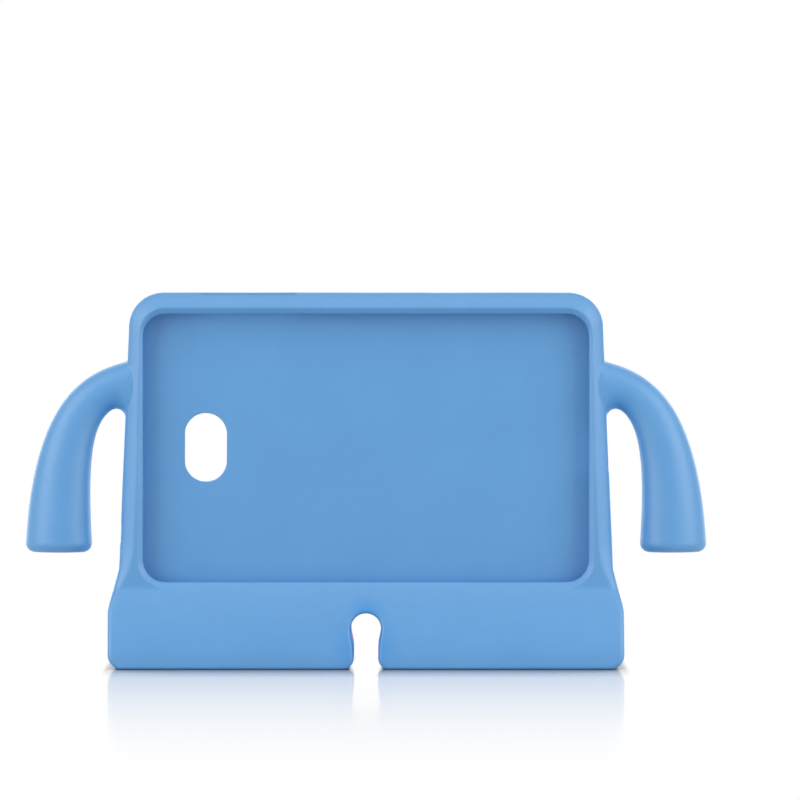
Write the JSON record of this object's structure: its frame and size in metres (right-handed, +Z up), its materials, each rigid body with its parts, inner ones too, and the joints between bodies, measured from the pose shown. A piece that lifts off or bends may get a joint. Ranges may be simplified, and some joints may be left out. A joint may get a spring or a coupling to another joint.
{
  "type": "kids tablet case",
  "caption": "Soft moulded foam case that holds a tablet upright, with drooping side arms and flared feet split by a keyhole notch.",
  "frame": {"origin": "middle of the base, on the plane that the feet stand on", "axes": "+X along the tablet's length, towards its charging socket; -Y out of the front of the case; +Z up"},
  "size_m": [0.381, 0.06, 0.21],
  "materials": {
    "blue_foam": "matte closed-cell foam with a moulded skin"
  },
  "bodies": {
    "root": {"foam_case": "blue_foam"}
  },
  "joints": []
}
